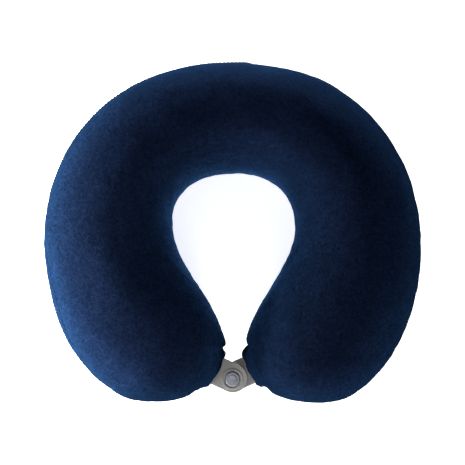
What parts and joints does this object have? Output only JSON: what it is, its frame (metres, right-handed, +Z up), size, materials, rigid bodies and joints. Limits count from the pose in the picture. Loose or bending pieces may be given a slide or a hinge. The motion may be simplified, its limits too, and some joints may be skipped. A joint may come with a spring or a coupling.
{
  "type": "u shaped neck pillow",
  "caption": "U shaped travel neck pillow: foam core and liner in a navy velour cover with a zip behind, closed at the front by overlapping moulded tabs with a snap.",
  "frame": {"origin": "centre of the footprint, on the resting plane", "axes": "+Z up out of the resting plane, +X across the two sides, +Y toward the back of the neck; the mouth opens toward -Y"},
  "size_m": [0.3192, 0.2878, 0.11],
  "materials": {
    "velour": "navy short-pile velour with a bright sheen at grazing angles",
    "foam": "open-cell memory foam, hidden",
    "liner": "thin knitted liner, hidden",
    "navy_thread": "spun polyester thread",
    "zip_tape": "woven zip tape",
    "zip_coil": "nylon coil",
    "zip_metal": "semi-gloss enamel",
    "tab_plastic": "matt grey soft moulded plastic",
    "snap_plastic": "satin moulded plastic"
  },
  "bodies": {
    "pillow": {"foam_core": "foam", "liner_top": "liner", "liner_bottom": "liner", "cover_top": "velour", "cover_bottom": "velour", "cover_thread": "navy_thread", "zip_tape_upper": "zip_tape", "zip_tape_lower": "zip_tape", "zip_coil_upper": "zip_coil", "zip_coil_lower": "zip_coil", "zip_stop_closed": "zip_metal", "zip_stop_open": "zip_metal", "tab_root_left": "tab_plastic", "tab_root_right": "tab_plastic"},
    "left_tab": {"tab_left": "tab_plastic", "snap_cap_upper": "snap_plastic", "snap_socket": "snap_plastic"},
    "right_tab": {"tab_right": "tab_plastic", "snap_stud": "snap_plastic", "snap_cap_lower": "snap_plastic"},
    "slider": {"zip_slider": "zip_metal"},
    "pull": {"zip_pull": "zip_metal"}
  },
  "joints": [
    {"name": "left_tab_flex", "type": "hinge", "parent": "pillow", "child": "left_tab", "pos_m": [-0.01174, -0.11915, 0.0561], "axis": [-0.4147, -0.91, 0], "range_deg": [0, 80]},
    {"name": "right_tab_flex", "type": "hinge", "parent": "pillow", "child": "right_tab", "pos_m": [0.01174, -0.11915, 0.0519], "axis": [0.4147, -0.91, 0], "range_deg": [0, 80]},
    {"name": "zip_slide", "type": "hinge", "parent": "pillow", "child": "slider", "pos_m": [-0.00786, -0.0156, 0.054], "axis": [0, 0, 1], "range_deg": [0, 49]},
    {"name": "zip_pull_swing", "type": "hinge", "parent": "slider", "child": "pull", "pos_m": [0.01053, 0.1418, 0.054], "axis": [0, 0, -1], "range_deg": [0, 150]}
  ]
}
